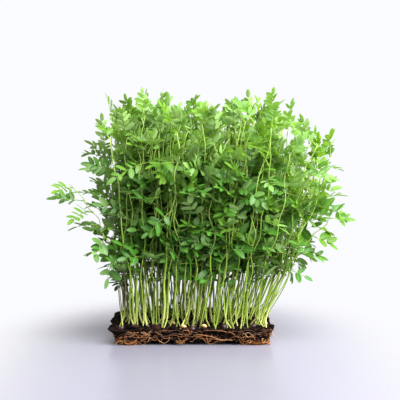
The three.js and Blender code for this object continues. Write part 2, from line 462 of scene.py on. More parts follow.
def fill_mesh(mesh, points, corners, sizes, smooth_faces=True):
    """Puts points and faces into an empty mesh."""
    mesh.vertices.add(len(points))
    mesh.vertices.foreach_set("co", points.astype(np.float32).ravel())
    mesh.loops.add(len(corners))
    mesh.loops.foreach_set("vertex_index", corners.astype(np.int32))
    mesh.polygons.add(len(sizes))
    starts = np.concatenate([[0], np.cumsum(sizes)[:-1]])
    mesh.polygons.foreach_set("loop_start", starts.astype(np.int32))
    mesh.polygons.foreach_set("use_smooth", np.full(len(sizes), smooth_faces))
    mesh.update(calc_edges=True)


def add_attribute(mesh, name, values):
    """A number for each point of a mesh."""
    attribute = mesh.attributes.new(name, "FLOAT", "POINT")
    attribute.data.foreach_set("value", values.astype(np.float32))


def add_map(mesh, name, places):
    """A UV map with a place for each face corner."""
    layer = mesh.uv_layers.new(name=name)
    layer.uv.foreach_set("vector", places.astype(np.float32).ravel())


def family_mesh(name, families):
    """One mesh from families of patches, with a pattern map and an atlas map with a cell for each skin."""
    points, corners, sizes, coords, cells, slots, tint, youth, rim = ([] for _ in range(9))
    point_count, cell_count = 0, 0
    for family in families:
        copies, size = family.points.shape[:2]
        patch = family.patch
        first = point_count + size * np.arange(copies)
        points.append(family.points.reshape(-1, 3))
        corners.append((first[:, None] + patch.corners).ravel())
        sizes.append(np.tile(patch.sizes, copies))
        coords.append(np.tile(np.column_stack([patch.coords, patch.cells]), (copies, 1)))
        first_cell = cell_count + patch.cell_count * np.arange(copies)
        cells.append((first_cell[:, None] + patch.cells).ravel())
        slots.append(np.full(copies * len(patch.sizes), family.material))
        tint.append(np.repeat(family.tint, size))
        youth.append(np.repeat(family.youth, size))
        rim.append(np.tile(patch.rim, copies))
        point_count += copies * size
        cell_count += copies * patch.cell_count
    mesh = bpy.data.meshes.new(name)
    fill_mesh(mesh, np.concatenate(points), np.concatenate(corners), np.concatenate(sizes))
    mesh.polygons.foreach_set("material_index", np.concatenate(slots).astype(np.int32))
    add_attribute(mesh, "tint", np.concatenate(tint))
    add_attribute(mesh, "youth", np.concatenate(youth))
    place = np.concatenate(coords)
    add_map(mesh, PATTERN_MAP, np.column_stack([place[:, 0], place[:, 1] + place[:, 2]]))
    side = int(np.ceil(np.sqrt(cell_count)))
    row, column = np.divmod(np.concatenate(cells), side)
    inside = ATLAS_MARGIN + (1 - 2 * ATLAS_MARGIN) * place[:, :2]
    add_map(mesh, ATLAS_MAP, (np.column_stack([column, row]) + inside) / side)
    ends = np.empty(len(mesh.edges) * 2, np.int32)
    mesh.edges.foreach_get("vertices", ends)
    sharp = np.concatenate(rim)[ends.reshape(-1, 2)].all(1)
    mesh.attributes.new("sharp_edge", "BOOLEAN", "EDGE").data.foreach_set("value", sharp)
    return mesh


def add_piece(name, mesh, materials, slot, *replaced):
    """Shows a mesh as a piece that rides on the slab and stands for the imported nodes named."""
    for material in materials:
        mesh.materials.append(material)
    piece = bpy.data.objects.new(name, mesh)
    bpy.context.scene.collection.objects.link(piece)
    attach(piece, BODY)
    if replaced:
        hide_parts(*replaced)
    return piece


# The stand of seedlings

@dataclass
class Stand:
    """The seedlings, one entry of each array for each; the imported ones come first."""

    packed: int
    foot: np.ndarray
    lean: np.ndarray
    curve: np.ndarray
    tip: np.ndarray
    first: np.ndarray
    hook: np.ndarray
    sway: np.ndarray
    wave: np.ndarray
    phase: np.ndarray
    plane: np.ndarray
    leaves: np.ndarray
    red: np.ndarray
    zigzag: float

    def top(self):
        """Where the stems end, below the tips of their youngest leaves."""
        return self.tip - TOP_LEAF


def lean_share(height, curve):
    """The share of its full lean that a packed stem has at a height."""
    return (np.maximum(height - SOIL_TOP, 0) / (CANOPY_HEIGHT - SOIL_TOP)) ** curve


def node_points(name):
    """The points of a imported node."""
    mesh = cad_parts[name].data
    points = np.empty(len(mesh.vertices) * 3, np.float32)
    mesh.vertices.foreach_get("co", points)
    return points.reshape(-1, 3).astype(float)


def seedling_numbers():
    """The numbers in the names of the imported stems."""
    return sorted(name.removeprefix("stem_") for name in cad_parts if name.startswith("stem_"))


def packed_seedlings():
    """Foot, lean, tip and lowest leaf of each packed seedling, read off the end rings of its stem."""
    foot, lean, tip, first = [], [], [], []
    for index, number in enumerate(seedling_numbers()):
        points = node_points(f"stem_{number}")
        height = points[:, 2]
        low_ring = points[height < height.min() + END_RING]
        high_ring = points[height > height.max() - END_RING]
        low = (low_ring.min(0) + low_ring.max(0)) / 2
        high = (high_ring.min(0) + high_ring.max(0)) / 2
        foot.append(low[:2])
        lean.append((high[:2] - low[:2]) / lean_share(high[2], SPRAWLING.get(index, LEAN_CURVE)))
        tip.append(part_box(f"leafy_shoot_{number}")[1].z)
        first.append(high[2])
    return np.array(foot), np.array(lean), np.array(tip), np.array(first)


def scattered_feet(feet, count, rng):
    """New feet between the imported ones: of many tries, the one furthest from every foot so far."""
    for _ in range(count):
        places = rng.uniform(-1, 1, (SCATTER_TRIES, 2)) * SCATTER_ROOM
        corner = (np.abs(places / SCATTER_ROOM) ** 4).sum(1) > 1.25
        gap = np.linalg.norm(places[:, None] - feet, axis=2).min(1)
        gap[corner] = 0
        feet = np.vstack([feet, places[gap.argmax()]])
    return feet


def plan_stand(stem):
    """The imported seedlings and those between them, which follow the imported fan.

    A new seedling's lean is a least-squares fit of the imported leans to 1, u and, on the right, u^5, where u
    runs from -1 to 1 along the slab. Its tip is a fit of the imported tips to 1, u and, on the right, u^6, less
    a random drop, and no higher than where its stem would leave the canopy on the right. The two that sprawl
    are left out of the fits.
    """
    rng = np.random.default_rng(11)
    foot, lean, tip, first = packed_seedlings()
    packed, count = len(foot), stem.seedlings
    more = count - packed
    reach = np.abs(foot[:, 0]).max()
    feet = scattered_feet(foot, more, rng)
    u = feet[:, 0] / reach
    sprawling = np.isin(np.arange(count), list(SPRAWLING))
    upright = ~sprawling[:packed]
    curve = np.full(count, LEAN_CURVE)
    curve[list(SPRAWLING)] = list(SPRAWLING.values())

    def fitted(power, values):
        basis = np.stack([np.ones(count), u, np.maximum(u, 0) ** power], axis=1)
        weights = np.linalg.lstsq(basis[:packed][upright], values[upright], rcond=None)[0]
        return (basis @ weights)[packed:]

    lean_x = fitted(FLARE_POWER, lean[:, 0]) + rng.normal(0, LEAN_SPREAD[0], more)
    fan = np.polyfit(foot[upright, 1], lean[upright, 1], 1)[0]
    lean_y = fan * feet[packed:, 1] + rng.normal(0, LEAN_SPREAD[1], more)
    height = fitted(DROP_POWER, tip) + TIP_LIFT - rng.gamma(*TIP_DROP, more)
    levels = np.linspace(0.1, tip.max(), 40)
    aside = feet[packed:, :1] + lean_x[:, None] * lean_share(levels, LEAN_CURVE)
    inside = aside < np.interp(levels, CANOPY_LEVELS, CANOPY_RIGHT)
    height = np.minimum(height, np.maximum((levels * inside).max(1), levels[0]) + EDGE_LIFT)
    short = rng.random(more) < SHORT_SHARE
    shortened = SOIL_TOP + (height - SOIL_TOP) * rng.uniform(*SHORT_HEIGHT, more)
    height = np.where(short, shortened, height)
    lowest = stem.first_leaf + rng.normal(0, LOWEST_SPREAD, more)
    lowest = np.clip(lowest - SHORT_LOWEST * short, *LOWEST_LIMITS)
    free = np.concatenate([np.full(packed, 0.5), np.ones(more)])[:, None]
    turn = rng.uniform(0, TURN, count)
    hook = free * stem.hook * rng.uniform(0.2, 1.3, (count, 1))
    hook = hook * np.column_stack([np.cos(turn), np.sin(turn)])
    spread_out = (u > 0.85) | sprawling
    plane = np.where(spread_out, rng.normal(0, 0.4, count), rng.uniform(0, TURN, count))
    left_end = u < -0.8
    leafy = np.concatenate([tip, height]) - np.concatenate([first, lowest])
    leaves = np.clip(np.round(leafy / stem.leaf_step), *LEAF_LIMITS)
    leaves[sprawling] = SPRAWL_LEAVES
    return Stand(
        packed=packed,
        foot=feet,
        lean=np.vstack([lean, np.column_stack([lean_x, lean_y])]),
        curve=curve,
        tip=np.concatenate([tip, np.minimum(height, tip.max())]),
        first=np.concatenate([first, lowest]),
        hook=np.clip(feet + hook, -FOOT_ROOM, FOOT_ROOM) - feet,
        sway=stem.sway * rng.uniform(0.3, 1.2, (count, 2)) * (0.5 + 0.5 * free),
        wave=rng.uniform(0.07, 0.15, (count, 2)),
        phase=rng.uniform(0, TURN, (count, 2)),
        plane=plane,
        leaves=leaves,
        red=np.where(left_end, *(rng.random(count) < share for share in RED_SHARE)).astype(float),
        zigzag=stem.zigzag,
    )


def centre_line(stand, height):
    """The middle of each stem at the heights given, one row of heights for each seedling.

    It is the foot, plus the fan's lean, a hook that fades above the soil as exp(-rise / 6 mm), a slow sine
    wave and a quicker one that grow over the first 40 mm, and a triangle wave from leaf to leaf.
    """
    rise = np.maximum(height - SOIL_TOP, 0)[..., None]
    share = lean_share(height, stand.curve[:, None])[..., None]
    fade = np.exp(-rise / HOOK_FADE)
    swing = TURN * rise / stand.wave[:, None] + stand.phase[:, None]
    waves = np.sin(swing) + 0.35 * np.sin(3.1 * swing)
    sway = stand.sway[:, None] * waves * np.minimum(rise / SWAY_RISE, 1)
    leafy = (height - stand.first[:, None]) / (stand.top() - stand.first)[:, None]
    steps = np.clip(leafy, 0, 1) * stand.leaves[:, None] / 2
    bend = np.where(leafy > 0, np.abs((steps % 1) * 2 - 1) * 2 - 1, 1)
    aside = np.stack([np.cos(stand.plane), np.sin(stand.plane)], axis=1)
    zigzag = stand.zigzag * aside[:, None] * bend[..., None] * smooth(height, SOIL_TOP, 0.06)[..., None]
    place = stand.foot[:, None] + stand.lean[:, None] * share + stand.hook[:, None] * fade + sway + zigzag
    return np.concatenate([place, height[..., None]], axis=-1)


def stem_radius(stem, share):
    """A stem tapers from its foot to its tip, faster near the foot."""
    return stem.foot_radius + (stem.tip_radius - stem.foot_radius) * share**0.7


def stem_family(stand, stem, low, high, rings, sides, material):
    """The stems between two heights, as tubes."""
    share = np.linspace(0, 1, rings)[None]
    height = low[:, None] + (high - low)[:, None] * share
    middle = centre_line(stand, height)
    taper = np.clip((height - SOIL_TOP) / (stand.top() - SOIL_TOP)[:, None], 0, 1)
    rng = np.random.default_rng(5)
    girth = rng.lognormal(0, 0.2, (len(stand.foot), 1))
    points = tube_points(middle, stem_radius(stem, taper) * girth, sides, np.array((0.0, 1.0, 0.0)))
    tint = rng.random(len(stand.foot))
    return Family(points, tube_patch(rings, sides), material, tint, stand.red)


@dataclass
class Leaves:
    """The compound leaves, one entry of each array for each; owner is the number of its seedling."""

    owner: np.ndarray
    place: np.ndarray
    foot: np.ndarray
    out: np.ndarray
    level: np.ndarray
    grown: np.ndarray
    length: np.ndarray
    droop: np.ndarray
    roll: np.ndarray
    tone: np.ndarray
    youth: np.ndarray

    def point(self, which, s):
        """Points on the stalks numbered by which: foot + length * (out * s - droop * up * s^2)."""
        drop = self.droop[which][..., None] * UP
        path = self.out[which] * s[..., None] - drop * (s * s)[..., None]
        return self.foot[which] + self.length[which][..., None] * path

    def axes(self, which, s):
        """Along, across and upper-face directions of the stalks there."""
        along = unit(self.out[which] - 2 * (self.droop[which] * s)[..., None] * UP)
        face = np.cross(along, self.level[which])
        face = np.where(face[..., 2:] < 0, -face, face)
        flat = np.cross(face, along)
        cosine, sine = np.cos(self.roll[which])[..., None], np.sin(self.roll[which])[..., None]
        return along, flat * cosine + face * sine, face * cosine - flat * sine


def leaf_headings(stand, leaf, owner, foot, turn, upper):
    """Level directions of the leaves, from their turns about the stem.

    At the edge of the stand upper leaves are drawn outward and lower ones inward, and the leaves of seedlings
    that sprawl to their own side. A leaf that would reach past the canopy's sides turns along the depth, and
    one that would reach past the depth limit turns back.
    """
    outward = stand.foot / np.abs(stand.foot).max(0)
    edge = smooth(np.linalg.norm(outward, axis=1), 0.55, 1.1)
    pull = np.where(outward[:, 0] < -0.4, 0.1, 0.6)
    lift = (2 * upper - 1) * (1 - smooth(foot[:, 2], 0.14, 0.185))
    bias = ((pull * edge)[:, None] * unit(outward))[owner] * lift[:, None]
    sprawling = np.isin(owner, list(SPRAWLING))
    bias[sprawling] = np.sign(outward[owner[sprawling]]) * (1.1, 0)
    heading = unit(np.stack([np.cos(turn), np.sin(turn)], axis=1) + bias)
    leaf_reach = leaf.stalk + leaf.leaflet
    reached = foot[:, 0] + heading[:, 0] * leaf_reach
    left_limit = np.interp(foot[:, 2], CANOPY_LEVELS, CANOPY_LEFT)
    right_limit = np.interp(foot[:, 2], CANOPY_LEVELS, CANOPY_RIGHT)
    left_limit[sprawling] = -SPRAWL_REACH[0]
    right_limit[sprawling] = SPRAWL_REACH[1]
    too_right = (reached > right_limit) & (heading[:, 0] > 0)
    too_left = (reached < left_limit) & (heading[:, 0] < 0)
    aside = np.where(too_right | too_left, 0.25, 1) * heading[:, 0]
    deep = np.where(heading[:, 1] < 0, -1, 1) * np.sqrt(1 - aside**2)
    too_deep = (np.abs(foot[:, 1] + deep * leaf_reach) > leaf.depth_limit) & (foot[:, 1] * deep > 0)
    return np.column_stack([aside, np.where(too_deep, -deep, deep)])


def plan_leaves(stand, leaf, rng):
    """The leaves of every seedling, alternately on the two sides of its stem, the last one near its tip."""
    most = int(stand.leaves.max())
    order = np.arange(most)[None] + rng.uniform(0.05, 0.4, (len(stand.foot), most))
    place = order / stand.leaves[:, None]
    owner, step = np.nonzero(place < 1)
    place = 1 - (1 - np.minimum(place, 1)) ** 1.15
    last = np.arange(most)[None] == stand.leaves[:, None] - 1
    place = np.where(last, 0.99, place)
    height = stand.first[:, None] + (stand.top() - stand.first)[:, None] * place
    foot = centre_line(stand, height)[owner, step]
    place = place[owner, step]
    count = len(owner)
    turn = stand.plane[owner] + np.pi * (step % 2) + rng.normal(0, 0.45, count)
    upper = smooth(foot[:, 2], 0.075, 0.115)
    heading = leaf_headings(stand, leaf, owner, foot, turn, upper)
    climb = 0.15 + 0.55 * place**1.5 + rng.normal(0, 0.34, count) + 0.4 * last[owner, step]
    climb -= 0.65 * np.isin(owner, list(SPRAWLING))
    grown = 1 - 0.16 * smooth(place, 0.75, 1.0)
    facing = -np.tanh(stand.foot[owner, 1] / 0.015)
    return Leaves(
        owner=owner,
        place=place,
        foot=foot,
        out=np.column_stack([heading * np.cos(climb)[:, None], np.sin(climb)]),
        level=np.stack([-heading[:, 1], heading[:, 0], np.zeros(count)], axis=1),
        grown=grown,
        length=leaf.stalk * grown * rng.uniform(0.75, 1.2, count) * (0.75 + 0.25 * upper),
        droop=rng.normal(0.28, 0.2, count) * (1 - 0.6 * place) * (0.4 + 0.6 * upper),
        roll=0.75 * facing * heading[:, 0] + rng.normal(0, 0.5, count),
        tone=rng.normal(0.5, 0.3, count),
        youth=np.clip(0.12 + 0.72 * smooth(place, 0.25, 1.0) + rng.normal(0, 0.2, count), 0, 1),
    )


def square_to(face, blade):
    """The face directions with their share along the blades taken out."""
    return unit(face - (face * blade).sum(1, keepdims=True) * blade)


def stalk_family(leaves, leaf):
    """Leaf stalks: tubes that taper to their ends."""
    count = len(leaves.owner)
    every = np.repeat(np.arange(count)[:, None], STALK_RINGS, 1)
    share = np.linspace(0, 1, STALK_RINGS)[None]
    middle = leaves.point(every, np.repeat(share, count, 0))
    radius = leaf.stalk_radius * (0.55 + 0.45 * leaves.grown)[:, None] * (1 - 0.6 * share)
    points = tube_points(middle, radius, STALK_SIDES, leaves.level[:, None])
    return Family(points, tube_patch(STALK_RINGS, STALK_SIDES), STEM, leaves.tone, np.zeros(count))


def leaflet_family(leaves, leaf, rng):
    """Leaflets in pairs along the stalks, slanting forward and raised a little, and the leaf of each."""
    wanted = 2.0 + 1.4 * smooth(leaves.place, 0.0, 0.6) + rng.normal(0, 0.7, len(leaves.owner))
    pairs = np.clip(np.round(wanted), 1, MOST_PAIRS).astype(int)
    has_pair = np.arange(pairs.max()) < pairs[:, None]
    which, pair, hand = np.nonzero(np.stack([has_pair, has_pair], axis=2))
    count = len(which)
    youth = leaves.youth[which]
    s = 0.3 + 0.66 * (pair + 0.5) / pairs[which] + rng.normal(0, 0.025, count)
    s = np.clip(s, 0.2, 1.0)
    along, flat, face = leaves.axes(which, s)
    slant = 1.15 - 0.45 * s**2 + rng.normal(0, 0.14, count)
    raised = np.clip(rng.normal(0.3, 0.2, count), -0.6, 0.9)
    side = 1.0 - 2.0 * hand
    swing = np.cos(slant)[:, None] * along + (side * np.sin(slant))[:, None] * flat
    blade = unit(swing + np.tan(raised)[:, None] * face)
    normal = square_to(face, blade)
    twist = rng.normal(0, 0.3, count)[:, None]
    normal = unit(normal * np.cos(twist) + np.cross(blade, normal) * np.sin(twist))
    size = leaf.leaflet * leaves.grown[which] * rng.uniform(0.72, 1.15, count) * (1.05 - 0.25 * s)
    size = size * (1.32 - 0.1 * pairs[which])
    width = size * leaf.leaflet_width * rng.uniform(0.88, 1.2, count) * (1 - 0.12 * youth)
    fold = leaf.fold * rng.uniform(0.3, 1.7, count) + 0.12 * smooth(youth, 0.7, 1.0)
    curl = rng.normal(0.1, 0.09, count)
    start = leaves.point(which, s)
    points = leaflet_points(
        start, blade, normal, size, width, fold, curl, leaf.thickness, LEAFLET_STATIONS
    )
    tint = np.clip(leaves.tone[which] + rng.normal(0, 0.12, count), 0, 1)
    youth = np.clip(youth + rng.normal(0, 0.06, count), 0, 1)
    return Family(points, leaflet_patch(LEAFLET_STATIONS), LEAF, tint, youth), which


def end_leaflet_family(leaves, leaf, which, rng):
    """A leaflet at the end of each stalk numbered."""
    count = len(which)
    end = np.ones(count)
    along, _, face = leaves.axes(which, end)
    size = leaf.leaflet * leaves.grown[which] * rng.uniform(0.65, 0.95, count)
    fold, curl = np.full(count, leaf.fold), np.full(count, 0.08)
    width = size * leaf.leaflet_width * 0.9
    points = leaflet_points(
        leaves.point(which, end), along, face, size, width, fold, curl, leaf.thickness, LEAFLET_STATIONS
    )
    tint = np.clip(leaves.tone[which], 0, 1)
    return Family(points, leaflet_patch(LEAFLET_STATIONS), LEAF, tint, leaves.youth[which])


def tendril_family(leaves, leaf, which, rng):
    """A tendril at the end of each stalk numbered, bowed as s^2."""
    count = len(which)
    end = np.ones(count)
    along, flat, face = (axis[:, None] for axis in leaves.axes(which, end))
    s = np.linspace(0, 1, STALK_RINGS)[None]
    length = rng.uniform(*TENDRIL_LENGTH, (count, 1, 1))
    bow = rng.normal(0, 0.5, (count, 1, 1)) * flat
    bow = bow + rng.normal(0.2, 0.4, (count, 1, 1)) * face
    path = leaves.point(which, end)[:, None] + length * (along * s[..., None] + bow * (s * s)[..., None])
    radius = leaf.stalk_radius * 0.4 * (1 - 0.6 * s) * np.ones((count, 1))
    points = tube_points(path, radius, STALK_SIDES, leaves.level[which][:, None])
    return Family(points, tube_patch(STALK_RINGS, STALK_SIDES), STEM, leaves.tone[which], np.zeros(count))


def stipule_family(leaves, leaf, which, rng):
    """Small stipules at the leaves' feet, on the two sides in turn."""
    count = len(which)
    side = np.tile((1.0, -1.0), count // 2)[:, None]
    along, flat, face = leaves.axes(which, np.zeros(count))
    blade = unit(0.7 * along + side * 0.6 * flat + 0.5 * UP)
    normal = square_to(face, blade)
    size = STIPULE * leaves.grown[which] * rng.uniform(0.7, 1.2, count)
    fold, curl = np.full(count, 0.2), np.full(count, 0.1)
    points = leaflet_points(
        leaves.foot[which],
        blade,
        normal,
        size,
        size * STIPULE_WIDTH,
        fold,
        curl,
        leaf.thickness * 0.8,
        STIPULE_STATIONS,
    )
    tint = np.clip(leaves.tone[which], 0, 1)
    youth = np.clip(leaves.youth[which] + 0.1, 0, 1)
    return Family(points, leaflet_patch(STIPULE_STATIONS), LEAF, tint, youth)


def grow_leaves(stand, leaf):
    """Stalks, leaflets, tendrils and stipules of every seedling, each family with its seedlings' numbers."""
    rng = np.random.default_rng(23)
    leaves = plan_leaves(stand, leaf, rng)
    owner = leaves.owner
    leaflets, leaflet_of = leaflet_family(leaves, leaf, rng)
    tendril_ended = rng.random(len(owner)) < leaf.tendrils
    ended = np.nonzero(~tendril_ended)[0]
    curly = np.nonzero(tendril_ended)[0]
    doubled = np.repeat(np.arange(len(owner)), 2)
    return [
        (stalk_family(leaves, leaf), owner),
        (leaflets, owner[leaflet_of]),
        (end_leaflet_family(leaves, leaf, ended, rng), owner[ended]),
        (tendril_family(leaves, leaf, curly, rng), owner[curly]),
        (stipule_family(leaves, leaf, doubled, rng), owner[doubled]),
    ]


def seedling_groups(stand):
    """The seedlings of each piece: every packed one by itself, and the rest in ranks from front to back."""
    groups = [(number, np.array([index])) for index, number in enumerate(seedling_numbers())]
    rest = np.arange(stand.packed, len(stand.foot))
    rest = rest[np.argsort(stand.foot[rest, 1])]
    ranks = np.array_split(rest, RANKS)
    return groups, [(f"rank_{index + 1}", rank) for index, rank in enumerate(ranks)]


# The slab

def slab_place(s, t, half):
    """A square's point (s, t), each from -1 to 1, on a slab with round corners.

    Inside a corner's square the point is drawn in along its radius, which makes the square a quarter disc.
    """
    flat = np.stack([s * half[0], t * half[1]], axis=-1)
    core = np.clip(flat, SLAB_CORNER - half, half - SLAB_CORNER)
    over = flat - core
    reach = np.linalg.norm(over, axis=-1, keepdims=True)
    drawn = np.abs(over).max(-1, keepdims=True) / np.maximum(reach, 1e-9)
    place = core + over * drawn
    return place[..., 0], place[..., 1]


def slab_outward(places):
    """Level directions out of the slab's side, from the gradient of (x/a)^8 + (y/b)^8."""
    scaled = places[..., :2] / SLAB_HALF
    return unit(scaled**7 / SLAB_HALF + 1e-9)


def slab_grid(half, low, high, across, deep, rings):
    """A closed slab as points and faces: a grid on top, rings down the side and a grid below.

    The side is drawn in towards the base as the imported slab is. Gives the points, the face corners, and for
    each point how near it is to the rim of its own face, from 0 to 1, on the side always 1.
    """
    s, t = np.meshgrid(np.linspace(-1, 1, across), np.linspace(-1, 1, deep))
    index = np.arange(across * deep).reshape(deep, across)
    round_trip = np.concatenate([index[0, :-1], index[:-1, -1], index[-1, :0:-1], index[:0:-1, 0]])
    drawn = (half - SLAB_DRAFT * (high - low) / SOIL_TOP) / half
    x, y = slab_place(s, t, half)
    rim = np.maximum(np.abs(s), np.abs(t)).ravel()
    top = np.column_stack([x.ravel(), y.ravel(), np.full(x.size, high)])
    bottom = np.column_stack([x.ravel() * drawn[0], y.ravel() * drawn[1], np.full(x.size, low)])
    share = (np.arange(rings) + 1) / (rings + 1)
    side = top[round_trip][None] + share[:, None, None] * (bottom - top)[round_trip][None]
    points = np.concatenate([top, side.reshape(-1, 3), bottom])
    around = len(round_trip)
    lines = [round_trip]
    lines += [top.shape[0] + ring * around + np.arange(around) for ring in range(rings)]
    lines.append(top.shape[0] + rings * around + round_trip)
    lines = np.array(lines)
    after = np.roll(lines, -1, axis=1)
    walls = np.stack([lines[1:], after[1:], after[:-1], lines[:-1]], axis=-1).reshape(-1, 4)
    lid = np.stack([index[:-1, :-1], index[:-1, 1:], index[1:, 1:], index[1:, :-1]], axis=-1).reshape(-1, 4)
    base = lid[:, ::-1] + top.shape[0] + rings * around
    nearness = np.concatenate([rim, np.ones(rings * around), rim])
    return points, np.concatenate([lid, walls, base]), nearness


def soil_relief(points, relief):
    """Lumps on the soil: three sizes of noise, the large ones highest."""
    lumps = 0.55 * lump_noise(points, 0.010, 3) + 0.4 * lump_noise(points, 0.0042, 4)
    return relief * (lumps + 0.28 * lump_noise(points, 0.0019, 5))


def soil_mesh(slab):
    """The soil: a slab with a lumpy top, a crumbling side and a loose lip at its left end."""
    points, faces, rim = slab_grid(SLAB_HALF, FELT_TOP - 0.0022, SOIL_TOP, 170, 122, 14)
    depth = (SOIL_TOP - points[:, 2]) / SOIL_TOP
    outward = slab_outward(points)
    edge = smooth(rim, 0.86, 1.0)
    lumps = soil_relief(points, slab.relief)
    lip = smooth(-points[:, 0], 0.045, 0.062) * smooth(points[:, 2], 0.007, SOIL_TOP) * edge
    lip = lip * (0.6 + 0.5 * lump_noise(points, 0.014, 9))
    push = edge * (1.1 * lumps + 0.0006 * lump_noise(points, 0.0028, 6)) + lip * slab.lip
    moved = points.copy()
    moved[:, :2] += outward * push[:, None]
    moved[:, 2] += (lumps - RIM_DROP * smooth(rim, 0.93, 1.0)) * (depth < 0.01)
    mesh = bpy.data.meshes.new("soil_block")
    fill_mesh(mesh, moved, faces.ravel(), np.full(len(faces), 4))
    return mesh


def felt_mesh(slab):
    """The felt of roots: a thin slab whose side is combed along its length and whose underside arches."""
    points, faces, rim = slab_grid(FELT_HALF, 0.0, FELT_TOP, 150, 106, 12)
    outward = slab_outward(points)
    along = np.arctan2(points[:, 1] / FELT_HALF[1], points[:, 0] / FELT_HALF[0]) / TURN * 0.42
    combed = np.column_stack([along, points[:, 2] * 7, np.zeros(len(points))])
    edge = smooth(rim, 0.9, 1.0)
    strands = 0.0004 * lump_noise(combed, 0.006, 14) + 0.0011 * lump_noise(points, 0.0045, 15)
    foot = smooth(np.abs(points[:, 0]), 0.036, 0.047)
    push = edge * (strands + 0.0011 * foot - 0.0026 * (1 - foot) * smooth(-points[:, 2], -0.006, -0.001))
    moved = points.copy()
    moved[:, :2] += outward * push[:, None]
    lower = points[:, 2] < FELT_TOP * 0.5
    rise = slab.arch * (1 - foot) + 0.0004 * (1 + lump_noise(points, 0.004, 16))
    moved[:, 2] += np.where(lower, rise * (1 - points[:, 2] / (FELT_TOP * 0.5)), 0)
    upper = points[:, 2] > FELT_TOP - 1e-5
    moved[:, 2] += np.where(upper, 0.0012 * lump_noise(points, 0.007, 17), 0)
    moved[:, 2] = np.maximum(moved[:, 2], 0)
    mesh = bpy.data.meshes.new("root_felt")
    fill_mesh(mesh, moved, faces.ravel(), np.full(len(faces), 4))
    add_attribute(mesh, "matting", foot * smooth(-points[:, 2], -0.0075, -0.002))
    return mesh


def wall_place(around, height):
    """A point on the slab's side: around runs from 0 to 1 once round it, from the front left corner."""
    lengths = np.array((SLAB_HALF[0], SLAB_HALF[1], SLAB_HALF[0], SLAB_HALF[1]))
    ends = np.concatenate([[0], np.cumsum(lengths) / lengths.sum()])
    s = np.interp(around % 1, ends, (-1, 1, 1, -1, -1))
    t = np.interp(around % 1, ends, (-1, -1, 1, 1, -1))
    x, y = slab_place(s, t, SLAB_HALF)
    drawn = SLAB_DRAFT * (1 - height / SOIL_TOP)
    return np.stack([x * (1 - drawn / SLAB_HALF[0]), y * (1 - drawn / SLAB_HALF[1]), height], axis=-1)


def root_families(slab):
    """Roots along the slab's sides, loops that hang in front of them, tangles at the ends and loose ends.

    A side root is a path round the wall: its height wanders as a sum of sines and it stands off the wall a
    little. A loop starts and ends high on the wall and hangs between as sin(pi s)^0.8. A tangle is a sine
    along each axis about a point at the end of the slab.
    """
    rng = np.random.default_rng(31)
    rings, sides = 18, 4
    s = np.linspace(0, 1, rings)[None]
    patch = tube_patch(rings, sides)
    families = []

    def add_roots(path, girth, tint):
        girth = slab.root_radius * girth
        path[..., 2] = np.maximum(path[..., 2], girth)
        families.append(Family(tube_points(path, girth, sides, UP), patch, 0, tint, np.zeros(len(tint))))

    def stood_off(place, off):
        level = slab_outward(place) * off[..., None]
        return place + np.concatenate([level, np.zeros((*off.shape, 1))], axis=-1)

    # Side roots
    count = slab.roots
    around = rng.random((count, 1))
    run = rng.choice((-1.0, 1.0), (count, 1)) * rng.uniform(0.015, 0.09, (count, 1))
    height = rng.uniform(0.0045, 0.0115, (count, 1))
    waves = rng.normal(0, 0.0014, (count, 1, 3)) / (1, 1.6, 2.4)
    phase = rng.uniform(0, TURN, (count, 1, 3))
    wander = (waves * np.sin(TURN * s[..., None] * (0.6, 1.4, 2.7) + phase)).sum(-1)
    off = rng.uniform(0.0003, 0.0016, (count, 1)) * np.ones((1, rings))
    place = wall_place(around + run * s, np.clip(height + wander, 0.0006, SOIL_TOP - 0.0006))
    girth = rng.lognormal(0, 0.35, (count, 1)) * (1 - 0.5 * s)
    add_roots(stood_off(place, off), girth, rng.beta(2, 2.6, count))

    # Loops
    count = slab.loops
    around = rng.random((count, 1))
    span = rng.uniform(0.008, 0.036, (count, 1))
    high = rng.uniform(0.0055, 0.010, (count, 1))
    hang = (high - 0.0006) * rng.uniform(0.35, 1.0, (count, 1))
    place = wall_place(around + span * s, high - hang * np.sin(np.pi * s) ** 0.8)
    off = 0.0005 + rng.uniform(0.0003, 0.0024, (count, 1)) * np.sin(np.pi * s)
    girth = rng.lognormal(0, 0.3, (count, 1)) * (1 - 0.4 * s)
    add_roots(stood_off(place, off), girth, rng.uniform(0.25, 0.85, count))

    # Tangles
    count = slab.tangles
    end = rng.choice((-1.0, 1.0), count, p=(0.58, 0.42))
    side = rng.choice((-1.0, 1.0), count, p=(0.6, 0.4))
    centre = np.column_stack(
        [
            end * rng.uniform(0.043, 0.0585, count),
            side * rng.uniform(0.034, 0.0425, count),
            rng.uniform(0.0008, 0.0062, count),
        ]
    )
    size = rng.uniform(0.0012, 0.0042, (count, 1, 3)) * (1.3, 0.7, 0.55)
    beat = rng.uniform(0.4, 1.6, (count, 1, 3))
    curl = np.sin(TURN * s[..., None] * beat + rng.uniform(0, TURN, (count, 1, 3)))
    girth = rng.lognormal(0.2, 0.3, (count, 1)) * (1 - 0.3 * s)
    add_roots(centre[:, None] + size * curl, girth, rng.uniform(0.3, 0.8, count))

    # Loose ends
    count = slab.loose_ends
    around = rng.random((count, 1))
    place = wall_place(around + 0.012 * rng.normal(0, 1, (count, 1)) * s, np.full((count, rings), 0.006))
    reach = rng.uniform(0.003, 0.010, (count, 1))
    fall = rng.uniform(-0.3, 1.0, (count, 1)) * reach
    path = stood_off(place, reach * s)
    path[..., 2] = rng.uniform(0.003, 0.012, (count, 1)) - fall * s * s
    add_roots(path, 0.6 * (1 - 0.5 * s) * np.ones((count, 1)), rng.uniform(0.6, 1.0, count))
    return families


